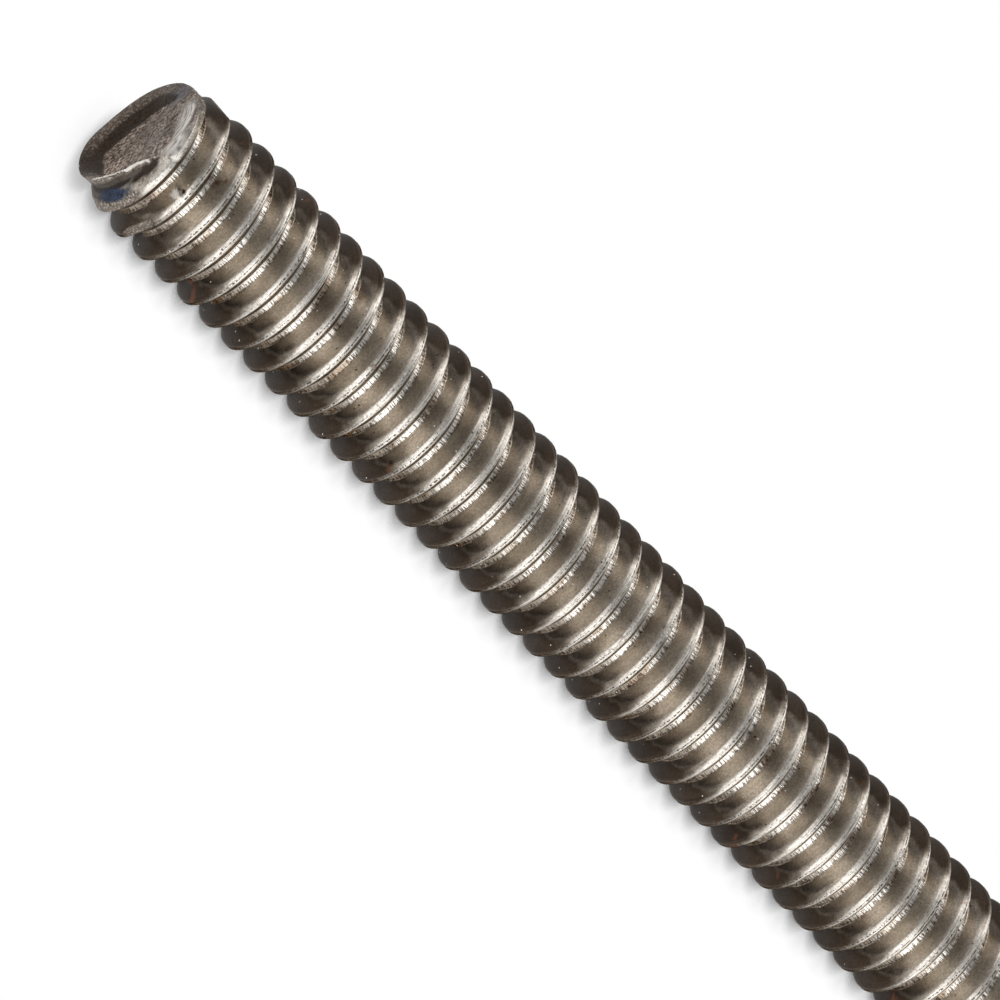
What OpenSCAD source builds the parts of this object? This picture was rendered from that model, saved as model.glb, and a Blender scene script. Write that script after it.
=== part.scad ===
// Threaded steel rod with one sheared end and one square-cut, chamfered end.
// The axis lies along X with the sheared end at -X. The origin is on the axis at mid-length.

/* [Rod] */
// Overall length, from the sheared end's furthest point to the square end
rod_length = 101.6; // [60:0.1:150]
// Size of the 45 degree chamfer on the square end
end_chamfer = 0.8; // [0.2:0.05:1.2]

/* [Thread] */
// Diameter over the crests
major_d = 6.15; // [5.5:0.05:8]
// Axial distance from one crest to the next
pitch = 1.27; // [1:0.01:1.6]
// Width of the flat on each crest
crest_flat = 0.25; // [0.1:0.01:0.35]
// Width of the flat at the bottom of the groove
root_flat = 0.23; // [0.1:0.01:0.35]
// Slope of each flank, measured from square to the axis
flank_angle = 30; // [27:1:35]

/* [Sheared end] */
// Tilt of the sheared face away from a square cut
shear_tilt = 5; // [0:0.5:10]
// Direction around the axis, from +Y towards +Z, in which the sheared face stands furthest out
shear_facing = 210; // [0:5:355]
// Distance from the middle of the sheared face to the first crest, measured at +Y
crest_lead = 0.08; // [0:0.01:1]
// Share of the thread's height that the cut leaves at the rim
rim_share = 0.6; // [0.2:0.05:1]
// Depth of the dished middle of the sheared face
dish_depth = 0.2; // [0:0.05:0.5]
// Width of the slope between the rim and the dish
dish_slope = 0.6; // [0.2:0.05:1]
// How far the curled lip stands out of the sheared face
lip_height = 0.25; // [0:0.05:0.5]
// Direction around the axis of the middle of the lip
lip_facing = 165; // [0:5:355]
// Angle around the axis that the lip covers
lip_span = 80; // [40:5:120]

/* [Mesh] */
// Most triangles that the thread may have
facet_budget = 11900; // [8000:100:12500]

/* [Hidden] */

steel = [0.47, 0.43, 0.39];

// Thread section
major_r = major_d / 2;
flank_run = (pitch - crest_flat - root_flat) / 2;
thread_depth = flank_run / tan(flank_angle);
root_r = major_r - thread_depth;
// Four lines follow the helix in each pitch: both edges of the crest, then both edges of the root
line_shift = [-crest_flat / 2, crest_flat / 2, (pitch - root_flat) / 2, (pitch + root_flat) / 2];
line_r = [major_r, major_r, root_r, root_r];
lines_per_pitch = len(line_shift);

// Sides of the helix, a multiple of four so that the rod measures its full diameter in Y and Z
triangles_per_side = 2 * lines_per_pitch * (rod_length / pitch + 1);
sides = 4 * max(2, floor(facet_budget / triangles_per_side / 4));
function side_angle(k) = 360 * k / sides;

// Sheared face, written with the middle of the face at x = 0
function tilt_x(k, r) = -r * tan(shear_tilt) * cos(side_angle(k) - shear_facing);
function turn_from(a, b) = abs((a - b + 540) % 360 - 180);
function lip_x(k) =
  let (off = turn_from(side_angle(k), lip_facing) / (lip_span / 2))
  off < 1 ? -lip_height * pow(cos(90 * off), 2) : 0;
function crest_x(k) = crest_lead + pitch * k / sides;
function thread_r(x, k) =
  let (past = x - crest_x(k), off = abs(past - pitch * round(past / pitch)))
  min(major_r, max(root_r, major_r - (off - crest_flat / 2) / tan(flank_angle)));
function rim_r(k) = root_r + rim_share * (thread_r(tilt_x(k, major_r), k) - root_r);
function rim_x(k) = tilt_x(k, rim_r(k)) + lip_x(k);
function dish_r(k) = rim_r(k) - dish_slope;

// The furthest point of the sheared end is at half the length, and the square end at the other half
face_x = -rod_length / 2 - min([for (k = [0:sides - 1]) rim_x(k)]);
end_x = rod_length / 2;
end_r = major_r - end_chamfer;

// Helix lines start two pitches before the sheared face and run past the square end
first_x = face_x + crest_lead - 2 * pitch;
lines = lines_per_pitch * ceil((end_x - first_x) / pitch + 1);
function grid_x(k, j) =
  first_x + pitch * (floor(j / lines_per_pitch) + k / sides) + line_shift[j % lines_per_pitch];
// The shear presses the crests down beside the rim, and the chamfer trims them at the square end
function grid_r(k, j) =
  let (x = grid_x(k, j), beside = rim_r(k) + max(0, x - face_x - tilt_x(k, rim_r(k))))
  min(line_r[j % lines_per_pitch], beside, end_r + max(0, end_x - x));

// Points, in order: the rim, the dish, the square end, the middle of the dish, then the helix lines
function polar(x, r, k) = [x, r * cos(side_angle(k)), r * sin(side_angle(k))];
rod_points = [
  for (k = [0:sides - 1]) polar(face_x + rim_x(k), rim_r(k), k),
  for (k = [0:sides - 1]) polar(face_x + tilt_x(k, dish_r(k)) + dish_depth, dish_r(k), k),
  for (k = [0:sides - 1]) polar(end_x, end_r, k),
  [face_x + dish_depth, 0, 0],
  for (k = [0:sides - 1], j = [0:lines - 1]) polar(grid_x(k, j), grid_r(k, j), k)
];
dish_start = sides;
end_start = 2 * sides;
dish_middle = 3 * sides;
grid_start = dish_middle + 1;

// A helix line that lies past an end, or within a hair of it, is gathered into that end's ring
gather = 0.05 * pitch;
function wrapped_point(k, j) =
  let (x = grid_x(k, j))
  x < face_x + max(rim_x(k), tilt_x(k, rim_r(k))) + gather ? k :
  x > end_x - gather ? end_start + k :
  grid_start + k * lines + j;
function grid_point(k, j) = k < sides ? wrapped_point(k, j) : wrapped_point(0, j + lines_per_pitch);
function real(t) = t[0] != t[1] && t[1] != t[2] && t[2] != t[0];

function thread_faces() = [
  for (k = [0:sides - 1], j = [0:lines - 2])
    let (
      a = grid_point(k, j),
      b = grid_point(k, j + 1),
      c = grid_point(k + 1, j + 1),
      d = grid_point(k + 1, j)
    )
    for (t = [[a, b, c], [a, c, d]]) if (real(t)) t
];
function end_faces() = [
  for (k = [0:sides - 1])
    let (next = (k + 1) % sides)
    each [
      [dish_start + k, k, next],
      [dish_start + k, next, dish_start + next],
      [dish_middle, dish_start + k, dish_start + next]
    ],
  [for (k = [sides - 1:-1:0]) end_start + k]
];

module rod() {
  color(steel)
    polyhedron(rod_points, concat(thread_faces(), end_faces()), convexity = 10);
}

rod();
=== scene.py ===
# %% [markdown]
# # A length of threaded rod
# The object is one piece of rolled steel: a right-hand screw thread from end to end, sheared off
# roughly at one end. The imported part gives its true place and size, so it is loaded first, and its
# box gives the rod's length and diameter.

# %% Load the part
import math
from types import SimpleNamespace
import bpy
import numpy as np
from mathutils import Matrix, Vector


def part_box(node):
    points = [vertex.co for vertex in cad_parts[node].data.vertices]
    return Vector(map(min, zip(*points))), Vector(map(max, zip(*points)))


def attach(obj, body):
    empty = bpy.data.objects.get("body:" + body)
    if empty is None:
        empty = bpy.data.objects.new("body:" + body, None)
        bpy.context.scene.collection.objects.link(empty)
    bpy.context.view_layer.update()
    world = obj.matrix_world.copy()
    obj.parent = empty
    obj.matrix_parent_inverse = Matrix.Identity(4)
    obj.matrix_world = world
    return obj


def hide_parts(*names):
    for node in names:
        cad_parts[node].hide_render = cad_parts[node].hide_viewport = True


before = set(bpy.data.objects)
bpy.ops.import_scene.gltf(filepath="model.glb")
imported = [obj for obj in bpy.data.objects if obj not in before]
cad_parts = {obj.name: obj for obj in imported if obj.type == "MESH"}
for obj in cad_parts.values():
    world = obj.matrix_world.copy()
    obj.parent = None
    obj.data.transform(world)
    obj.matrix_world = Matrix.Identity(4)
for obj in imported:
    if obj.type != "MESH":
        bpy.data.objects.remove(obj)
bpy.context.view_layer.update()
low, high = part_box("rod")
MM = 0.001
rod_length = (high[0] - low[0]) / MM
major_r = (high[2] - low[2]) / 2 / MM
print(f"rod {rod_length:.2f} mm long, {2 * major_r:.3f} mm over the crests")

# %% [markdown]
# ## Soft steps
# Worn metal has few sharp steps, so most changes of form below are blended. As a formula, a soft step can
# be used on any number, such as an angle or a distance.

# %% Soft steps
def smooth(t):
    """Soft step from 0 to 1 while t goes from 0 to 1: three t squared less two t cubed."""
    t = np.clip(t, 0, 1)
    return t * t * (3 - 2 * t)


def window(value, start, full, fade, end):
    """Soft window: rises from start to full, then falls from fade to end."""
    return smooth((value - start) / (full - start)) * (1 - smooth((value - fade) / (end - fade)))


print("soft step at 0.25:", round(float(smooth(0.25)), 3))

# %% [markdown]
# ## Unevenness
# Torn and rolled metal is never quite even. Random values on a lattice, joined by soft steps, give bumps
# of any size. The random numbers are seeded, so the rod comes out the same every time.

# %% Unevenness
def uneven(x, y, seed):
    """Random height from -1 to 1: random values on a lattice of unit cells, joined by soft steps."""
    size = 128
    lattice = np.random.default_rng(seed).uniform(-1, 1, (size, size))
    i, j = np.floor(x).astype(int), np.floor(y).astype(int)
    s, t = smooth(x - i), smooth(y - j)
    near = lattice[i % size, j % size] * (1 - s) + lattice[(i + 1) % size, j % size] * s
    next_row = (j + 1) % size
    far = lattice[i % size, next_row] * (1 - s) + lattice[(i + 1) % size, next_row] * s
    return near * (1 - t) + far * t


print("unevenness at one point:", round(float(uneven(np.array(0.3), np.array(0.6), 1)), 3))

# %% [markdown]
# ## The thread as one formula
# A screw thread is a section carried round the axis while it moves along it. Every point of the side is
# named by its turn round the rod and its place across one pitch, so a crest, a flank or a root is always
# one range of that second number. Lengths are in millimetres until the mesh is made.

# %% Thread section
pitch = 1.27
crest_flat = 0.25
root_flat = 0.23
flank_slope = math.tan(math.radians(30))
thread_depth = (pitch - crest_flat - root_flat) / 2 / flank_slope
root_r = major_r - thread_depth


def thread_radius(across):
    """Radius of the thread at a place across the pitch, counted in pitches from the crest's middle.

    The flat crest and root are joined by straight flanks: the radius falls by the distance past the
    crest's edge divided by the flank's slope, and never leaves the range from root to crest.
    """
    off = np.abs(across - np.round(across)) * pitch
    return np.clip(major_r - (off - crest_flat / 2) / flank_slope, root_r, major_r)


print(f"root radius {root_r:.3f} mm, thread depth {thread_depth:.3f} mm")

# %% [markdown]
# ## Angles round the rod
# The marks of the shear blade lie at different angles round the rod. They could be sculpted by hand, but
# as windows and bumps of angle they keep their place when a size changes. The angle is counted in degrees
# from the side that faces the viewer. The points stand in columns round the rod, close-set near the cut
# and wide-set on the rest.

# %% Angles round the rod
viewer_facing = 120
fine, coarse = 224, 56
turn = np.arange(fine) / fine
angle = 2 * np.pi * turn


def wrapped(degrees):
    """The same angle in degrees, brought into the range from -180 to 180."""
    return (degrees + 180) % 360 - 180


def bump_at(facing, middle, reach):
    """Soft bump of height 1 about a middle angle, down to 0 at the given reach on both sides."""
    return 1 - smooth(np.abs(wrapped(facing - middle)) / reach)


facing = wrapped(np.degrees(angle) - viewer_facing)
print(f"close-set columns are {360 / fine:.2f} degrees apart, wide-set ones {360 / coarse:.2f}")

# %% [markdown]
# ## Marks of the blade on the rim
# A shear blade leaves a nearly square face. Where the blade went in, the edge is rolled over into the
# first crest. Where it came out, a thin lip is left standing along the bottom of the groove, and the
# far side of the rim stands up round a dished middle. Each of these is a window of angle.

# %% Marks of the blade
lip = window(facing, 4, 18, 62, 100)
rolled = window(facing, -95, -55, -16, 6)
in_groove = window(facing, -8, 6, 78, 140)
far_side = 1 - window(facing, -125, -105, 115, 135)
ragged = 0.6 * uneven(turn * 32, turn * 0, 3) + 0.4 * uneven(turn * 128, turn * 0 + 7, 3)
rag_depth = 0.012
rolled_depth = 0.08 + 0.3 * smooth((facing + 60) / 50)
lip_height = 0.19 + 0.06 * bump_at(facing, 53, 30) - 0.015 * ragged
rim_offset = -lip * lip_height + rolled_depth * rolled + rag_depth * ragged * (1 - rolled)
rim_offset = rim_offset - 0.05 * far_side - 0.03 * bump_at(facing, -145, 34)
rim_offset = rim_offset - 0.07 * bump_at(facing, 150, 25)
print(f"rim stands {-rim_offset.min():.2f} mm out at the lip and {rim_offset.max():.2f} mm back at the roll")

# %% [markdown]
# ## The rim of the sheared end
# The blade cut through the thread, so the rim is the thread's own section where the tilted face meets it,
# pressed in a little. Along the lip it follows the groove's bottom instead.

# %% Rim of the sheared end
shear_tilt = math.tan(math.radians(5))
shear_facing = math.radians(210)
crest_lead = 0.08
pressed_share = 0.908


def tilt_x(angle, r):
    """Place along the axis of the tilted face, from its middle, at an angle and a radius.

    It is less by the radius times the tilt's tangent times the cosine of the angle from the side that
    stands out.
    """
    return -r * shear_tilt * np.cos(angle - shear_facing)


cut_across = (tilt_x(angle, major_r) + rolled_depth * rolled - crest_lead) / pitch - turn
most_share = pressed_share + 0.017 * rolled - 0.06 * bump_at(facing, -86, 32)
pressed_r = np.minimum(thread_radius(cut_across), most_share * major_r + rag_depth * ragged)
rim_r = pressed_r + (root_r - pressed_r) * in_groove
rim_x = tilt_x(angle, rim_r) + rim_offset
face_x = -rod_length / 2 - rim_x.min()
print(f"sheared face at {face_x:.3f} mm, rim radius {rim_r.min():.2f} to {rim_r.max():.2f} mm")

# %% [markdown]
# ## Places of the helix lines
# Seventeen lines follow the helix in each pitch. Most crowd at the edges of crest and root, so that the
# flanks stay flat. The shoulder on the sheared end's side of each crest is a small round, the other is
# nearly sharp. Three lines make the thin seam that thread rolling leaves where the metal folds together
# along the crest.

# %% Places of the helix lines
shoulder_r = 0.15
shoulder_angle = np.radians([60, 40, 20, 0])
shoulder_start = crest_flat / 2 - shoulder_r * flank_slope
shoulder_places = -(shoulder_start + shoulder_r * np.sin(shoulder_angle)) / pitch
shoulder_drop = shoulder_r * (1 - np.cos(shoulder_angle))
crest_places = [-0.02, 0.016, 0.052, 0.088, 0.1, 0.115]
root_places = [0.385, 0.415, 0.5, 0.585, 0.615]
flank_places = [0.72, 0.81]
line_places = np.concatenate([shoulder_places, crest_places, root_places, flank_places])
lines_per_pitch = len(line_places)
seam_line, sharp_line = 5, 8
from_seam = np.abs(np.arange(lines_per_pitch) - seam_line)
seam_share = np.where(from_seam == 0, 1, 0)
seam_follow = np.where(from_seam <= 1, 1, 0)
edge_drop = np.zeros(lines_per_pitch)
edge_drop[:len(shoulder_places)] = shoulder_drop - (major_r - thread_radius(shoulder_places))
edge_drop[sharp_line] = 0.01
print(f"{lines_per_pitch} lines in each pitch")

# %% [markdown]
# ## Lines that follow the helix
# A line is the same place across the pitch, carried round and round the rod. The first line starts two
# pitches before the sheared face and the last ends past the square end, so that both ends can be cut
# from a full thread.

# %% Helix lines
end_x = rod_length / 2
first_x = face_x + crest_lead - 2 * pitch
pitches = math.ceil((end_x - first_x) / pitch + 1)
line = np.arange(pitches * lines_per_pitch)
line_pitch = line // lines_per_pitch
in_pitch = line % lines_per_pitch
seam_wander, seam_depth = 0.01, 0.02


def helix_lines(turn, lines):
    """Place along the axis, radius of the full thread, and how open the seam is, for each column and line.

    A line keeps its place across the pitch while x grows by one pitch in each turn. The seam's lines
    wander a little along the helix, and its middle line dips into the crest where the seam is open.
    """
    along_helix = turn[:, None] + line_pitch[None, lines]
    wander = seam_wander * uneven(along_helix * 5, along_helix * 0, 11)
    open_seam = smooth(1.2 * uneven(along_helix * 7, along_helix * 0 + 0.5, 12) + 0.7)
    across = line_places[in_pitch[lines]] + wander * seam_follow[in_pitch[lines]]
    x = first_x + pitch * (along_helix + across)
    r = thread_radius(across) - edge_drop[in_pitch[lines]]
    open_seam = open_seam * seam_share[in_pitch[lines]]
    return x, r - seam_depth * open_seam, open_seam


print(f"{len(line)} lines in {pitches} pitches")

# %% [markdown]
# ## Places beside the cut
# The blade also flattened what lay next to it. To say what happens where, each point of the side gets its
# distance past the rim and past the bottom of the first groove. The lip's wall, a burr on the second ridge
# and the nick beside it are named here too, because both the shape and the finish need them.

# %% Places beside the cut
burr_place, nick_place = 1.27 * pitch, 1.36 * pitch


def beside_cut(x, turn, rim_x):
    """Angle from the viewer, distances, and shares of lip wall, burr and nick, for each column and line.

    The groove's bottom lies half a pitch before the crest, and the foot is how far past it the first ridge
    starts to climb. The burr and the nick are bumps of angle times soft steps of the distance.
    """
    at = SimpleNamespace(facing=wrapped(turn * 360 - viewer_facing)[:, None])
    at.past_rim = np.maximum(0, x - (face_x + rim_x)[:, None])
    at.past_groove = x - (face_x + crest_lead + pitch * (turn - 0.5))[:, None]
    at.along_lip = window(at.facing, -8, 6, 95, 135)
    at.foot = 0.385 - 0.16 * smooth((at.facing - 8) / 36)
    at.past_foot = np.maximum(0, at.past_groove - at.foot)
    at.lip_wall = at.along_lip * smooth((at.foot + 0.02 - at.past_groove) / 0.05)
    at.burr = bump_at(at.facing, 9, 6) * smooth(1.2 - np.abs(at.past_groove - burr_place) / 0.15)
    at.nick = bump_at(at.facing, 4, 4.5) * smooth(1.1 - np.abs(at.past_groove - nick_place) / 0.12)
    return at


print(f"burr {burr_place:.2f} mm and nick {nick_place:.2f} mm past the groove's bottom")

# %% [markdown]
# ## The crushed turns
# The lip keeps the wall of the groove's bottom, the lower end of the first ridge is squashed to a dull
# slope, and the second ridge has two flats hammered into it. Cutting such forms with other meshes would
# leave ragged triangles, so each is a limit that the radius may not pass.

# %% Crushed turns
end_chamfer = 0.8
end_r = major_r - end_chamfer
burr_height, nick_depth = 0.1, 0.07
crush_blend, crush_rough, ease = 0.12, 0.006, 0.04
lip_rise, foot_climb = 0.12, 4
ridge_share, ridge_rise, ridge_spare = 0.85, 0.38, 0.27
lower_flat, upper_flat = (52, 0.928), (-88, 0.944)


def flat_limit(facing, middle, share):
    """Radius limit of a flat: its distance from the axis over the cosine of the angle from its middle."""
    return share * major_r / np.cos(np.radians(np.clip(facing - middle, -40, 40)))


def limited_radius(at, x, full_r, turn, rim_r):
    """Radius of the side after the cut, and how far each point is crushed.

    The full thread is held below a limit. Beside the rim the limit rises at 45 degrees. Along the lip it
    stays near the groove's bottom up to the foot, then climbs fast, and a slower slope holds down the
    first ridge. Thread and limit are joined by an eased minimum: half of their sum, less half of the root
    of their difference squared plus a small width squared. The square end's chamfer is 45 degrees.
    """
    beside_rim = rim_r[:, None] + at.past_rim
    beside_lip = rim_r[:, None] + lip_rise * at.past_rim + foot_climb * at.past_foot
    limit = beside_rim + (beside_lip - beside_rim) * at.along_lip
    squashed = window(at.facing, 12, 48, 105, 140)
    slope = ridge_share * major_r + ridge_rise * np.maximum(0, at.past_groove)
    slope = slope + ridge_spare * (1 - squashed)
    limit = np.minimum(limit, slope)
    flats = np.minimum(flat_limit(at.facing, *lower_flat), flat_limit(at.facing, *upper_flat))
    on_second = np.abs(at.past_groove - 1.5 * pitch) < 0.45 * pitch
    limit = np.where(on_second, np.minimum(limit, flats), limit)
    full_r = np.minimum(major_r, full_r + burr_height * at.burr) - nick_depth * at.nick
    crushed = np.maximum(smooth((full_r - limit) / crush_blend), at.lip_wall)
    rough = uneven(x * 6 + 40, turn[:, None] * 90, 21)
    limit = limit - crush_rough * (rough + 1) * crushed
    eased_r = (full_r + limit - np.sqrt((full_r - limit) ** 2 + ease ** 2)) / 2
    chamfer_r = end_r + np.maximum(0, end_x - x)
    return np.minimum(eased_r, chamfer_r), crushed


print(f"square end's face has a radius of {end_r:.3f} mm")

# %% [markdown]
# ## Painted shade and bright places beside the cut
# Painted shade darkens the corners and the groove under the lip, and edges that stand out are rubbed bright
# and painted with highlights. Both follow from the same distances as the shape, so they are worked out with
# it and stored on the points.

# %% Painted shade and bright places
ridge_top = 0.78


def marks_beside_cut(at, crushed):
    """Shares of dull crushed metal, painted shade and bright metal on each point of the side.

    Painted shade lies along the lip's foot, on its wall, in the closed end of the groove and in the nick.
    The lip's top, the burr, the first ridge and the slope below it are rubbed bright and painted with
    highlights. Where two marks meet the stronger one counts, and a bright place keeps no painted shade.
    """
    along_foot = at.along_lip * smooth(1.3 - np.abs(at.past_groove - at.foot + 0.06) / 0.1)
    # Painted shade along the lip's foot, on its wall, in the closed end of the groove and in the nick.
    groove_shade = np.maximum(np.maximum(along_foot, at.nick), 0.65 * at.lip_wall)
    closed_end = window(at.facing, -10, 2, 15, 26) * smooth((at.past_groove - 0.04) / 0.1)
    groove_shade = np.maximum(groove_shade, 0.8 * closed_end * smooth((at.foot + 0.08 - at.past_groove) / 0.06))
    # Rubbed metal with painted highlights on the lip's top, the burr, the first ridge and the slope below
    # it.
    lip_top = window(at.facing, 3, 9, 26, 42) * smooth(1.7 - at.past_rim / 0.15)
    below_top = smooth((ridge_top - at.past_groove) / 0.05)
    ridge_start = 0.27 + 0.12 * smooth((at.facing + 6) / 12)
    first_ridge = window(at.facing, -48, -22, 14, 26) * smooth((at.past_groove - ridge_start) / 0.06)
    first_ridge = first_ridge * below_top
    pale = 0.56 * window(at.facing, 14, 26, 40, 56) * smooth((at.past_foot - 0.06) / 0.1) * below_top
    by_burr = bump_at(at.facing, 10, 10) * smooth(1.3 - np.abs(at.past_groove - 1.26 * pitch) / 0.18)
    by_burr = by_burr * (1 - at.nick)
    bright = np.maximum(np.maximum(0.85 * lip_top, by_burr), np.maximum(0.68 * first_ridge, pale))
    return crushed * (1 - first_ridge), groove_shade * (1 - bright), bright


print(f"first ridge is rubbed up to {ridge_top} mm past the groove's bottom")

# %% [markdown]
# ## Points of the side
# Near the sheared end the columns are four times as close as on the rest of the rod, where nothing but
# the plain thread has to be shown. That keeps the triangles for the places that need them.

# %% Points of the side
step = fine // coarse
fine_pitches = 5
last_fine = fine_pitches * lines_per_pitch
coarse_turn, coarse_angle = turn[::step], angle[::step]
coarse_rim_r, coarse_rim_x = rim_r[::step], rim_x[::step]
fine_lines, coarse_lines = line[:last_fine + 1], line[last_fine + 1:]

fine_x, fine_r, fine_seam = helix_lines(turn, fine_lines)
fine_at = beside_cut(fine_x, turn, rim_x)
fine_r, fine_crushed = limited_radius(fine_at, fine_x, fine_r, turn, rim_r)
fine_crushed, fine_groove_shade, fine_bright = marks_beside_cut(fine_at, fine_crushed)
past_first_crest = fine_x - face_x - crest_lead - pitch * (turn[:, None] + 0.4)
fine_seam = fine_seam * smooth(past_first_crest / 0.3)

coarse_x, coarse_r, coarse_seam = helix_lines(coarse_turn, coarse_lines)
coarse_at = beside_cut(coarse_x, coarse_turn, coarse_rim_x)
coarse_r, _ = limited_radius(coarse_at, coarse_x, coarse_r, coarse_turn, coarse_rim_r)
print(f"{fine_x.size} close-set and {coarse_x.size} wide-set points")

# %% [markdown]
# ## The sheared face
# The face is a set of rings that shrink towards the axis, recessed behind the standing rim and scored
# along the direction in which the blade tore it. A flat disc with a bump map would look painted, so the
# recess, its walls and the coarse scores are real shape.

# %% Sheared face
ring_shares = np.concatenate([np.linspace(0.985, 0.5, 30), np.linspace(0.47, 0.035, 12)])[:, None]
toward_viewer = math.radians(viewer_facing)
recess_facing = math.radians(75)
recess_most, recess_range = 0.40, 0.45
round_from = 0.83
foot_share, foot_swing, foot_ragged = -0.5, 0.33, 0.1
wall_least, wall_more = 0.07, 0.14
tear_depth, score_depth = 0.04, 0.02


def face_shape(share, angle, rim_r, rim_offset, lip, rolled):
    """Place along the axis on the sheared face, for a share of the rim's radius, and how much is dark wall.

    The torn plane lies behind the rim by a recess that is shallow on the rolled side. On the far side a
    broad wall slopes down from the rim to a nearly straight line across the face. Elsewhere a short wall
    joins the rim, and on the rolled side a quarter round. Scores that run across the viewer's direction
    make the plane uneven.
    """
    r = share * rim_r
    near = r * np.cos(angle - toward_viewer)
    side = r * np.sin(angle - toward_viewer)
    recess = recess_most - recess_range * smooth(0.35 + r / major_r * np.cos(angle - recess_facing))
    wall_foot = major_r * (foot_share + foot_swing * smooth((-side / major_r - 0.25) / 0.4))
    wall_foot = wall_foot + foot_ragged * uneven(side * 2.5 + 50, side * 0, 33)
    rim_near = rim_r * np.cos(angle - toward_viewer)
    far_wall = (wall_foot - near) / np.maximum(wall_foot - rim_near, 0.15)
    stained_side = bump_at(np.degrees(angle), viewer_facing + 120, 48)
    short_width = wall_least + wall_more * (1 - lip) * (1 - rolled) + wall_more * stained_side
    short_wall = 1 - (1 - share) / short_width
    round_over = 1 - np.sqrt(1 - np.clip((share - round_from) / (1 - round_from), 0, 1) ** 2)
    wall = np.maximum(smooth(far_wall), smooth(short_wall))
    edge = wall + (round_over - wall) * rolled
    dark = np.maximum(smooth(far_wall * 6), smooth(short_wall * 4))
    dark = dark * (1 - (0.7 - 0.5 * stained_side) * smooth((share - 0.74) / 0.14))
    torn = tear_depth * uneven(near * 2.5 + 50, side * 0.8 + 50, 31)
    torn = torn + score_depth * uneven(near * 8 + 50, side * 3 + 50, 32)
    return tilt_x(angle, r) + recess + (rim_offset - recess) * edge + torn * (1 - edge), dark


face_off, face_dark = face_shape(ring_shares, angle, rim_r, rim_offset, lip, rolled)
middle_off, _ = face_shape(np.array(0.0), 0.0, rim_r[0], 0.0, 0.0, 0.0)
print(f"middle of the face lies {float(middle_off):.2f} mm behind the cut's plane")

# %% [markdown]
# ## All points in one list
# A mesh is a list of points and a list of faces that name them by number. The blocks of points go into
# the list one after the other, and the number at which each starts is kept.

# %% All points
end_ring_shares = np.array([1.0, 0.97, 0.7, 0.4])[:, None]


def polar(x, r, angle):
    """Points at a place along the axis, a radius and an angle: y is r cosine angle, z is r sine angle."""
    x, r, angle = np.broadcast_arrays(x, r, angle)
    return np.stack([x, r * np.cos(angle), r * np.sin(angle)], -1).reshape(-1, 3)


blocks = [polar(face_x + rim_x, rim_r, angle),
          polar(face_x + face_off, ring_shares * rim_r, angle),
          polar(end_x, end_r * end_ring_shares, coarse_angle),
          polar(fine_x, fine_r, angle[:, None]),
          polar(coarse_x, coarse_r, coarse_angle[:, None]),
          np.array([[face_x + float(middle_off), 0, 0], [end_x, 0, 0]])]
starts = np.cumsum([0] + [len(block) for block in blocks])
rim_start, face_start, end_start, fine_start, coarse_start, pole_start, point_count = starts
points = np.concatenate(blocks)
print(f"{point_count} points")

# %% [markdown]
# ## Marks on the points
# The finish has to know where the metal is crushed, stained or rubbed, and where painted shade and painted
# highlights lie.
# A painted picture would do that for one view only. Numbers stored on the points go with the shape and can
# be read by any material.

# %% Marks on the points
far_rim = 1 - window(facing, -100, -70, 75, 110)
dull_edge = 0.3 * window(facing, -90, -62, -32, -14)
face_band = np.maximum(face_dark * far_rim, dull_edge * smooth((ring_shares - 0.91) / 0.05))
# Rubbed metal with painted highlights on the lip, the rolled edge and specks of the far rim.
bright_lip = np.maximum(window(facing, 2, 7, 22, 34), 0.85 * lip)
bright_roll = 0.85 * window(facing, -45, -25, -14, 6)
bright_far = smooth(2 * ragged - 0.4) * far_rim
bright_rim = np.maximum(np.maximum(bright_lip, bright_roll), bright_far)
# Burnished rolled edge, partly a painted highlight.
burnished_and_lit = window(facing, -85, -50, -14, 2)
burnish_highlight_start = 0.6 + 0.25 * smooth((facing + 50) / 38)
face_burnish_and_highlight = burnished_and_lit * smooth((ring_shares - burnish_highlight_start) / (0.95 - burnish_highlight_start))

on_rim, on_face = slice(rim_start, face_start), slice(face_start, end_start)
on_fine, on_coarse = slice(fine_start, coarse_start), slice(coarse_start, pole_start)
laid_on = {"crushed": [(on_rim, 1 - rolled), (on_fine, fine_crushed)],
           "band": [(on_rim, np.maximum(0.4 * far_rim, dull_edge)), (on_face, face_band)],
           "seam": [(on_fine, fine_seam), (on_coarse, coarse_seam)],
           "rubbed_and_highlight": [(on_rim, bright_rim), (on_fine, fine_bright)],
           "groove_shade": [(on_fine, fine_groove_shade)],
           "burnish_and_highlight": [(on_rim, burnished_and_lit), (on_face, face_burnish_and_highlight)]}
point_marks = {}
for name, parts in laid_on.items():
    point_marks[name] = np.zeros(point_count)
    for where, values in parts:
        point_marks[name][where] = values.ravel()
print("marked points:", {name: int((values > 0).sum()) for name, values in point_marks.items()})

# %% [markdown]
# ## Closing the helix
# After one turn a line meets the line of the next pitch, so the grid closes on itself with a shift. Lines
# that pass an end are gathered into that end's ring, which trims the thread without cutting the mesh.

# %% Closing the helix
gather = 0.02 * pitch
line_count = len(line)


def numbered(start, x, rim_x, rim_step):
    """Point numbers of a block of the side, with lines past an end gathered into that end's ring."""
    count, width = x.shape
    column = np.arange(count)[:, None]
    number = start + column * width + np.arange(width)[None, :]
    number = np.where(x < (face_x + rim_x)[:, None] + gather, rim_start + column * rim_step, number)
    end_column = column * (coarse / count)
    return np.where(x > end_x - gather, end_start + end_column.astype(int), number)


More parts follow.
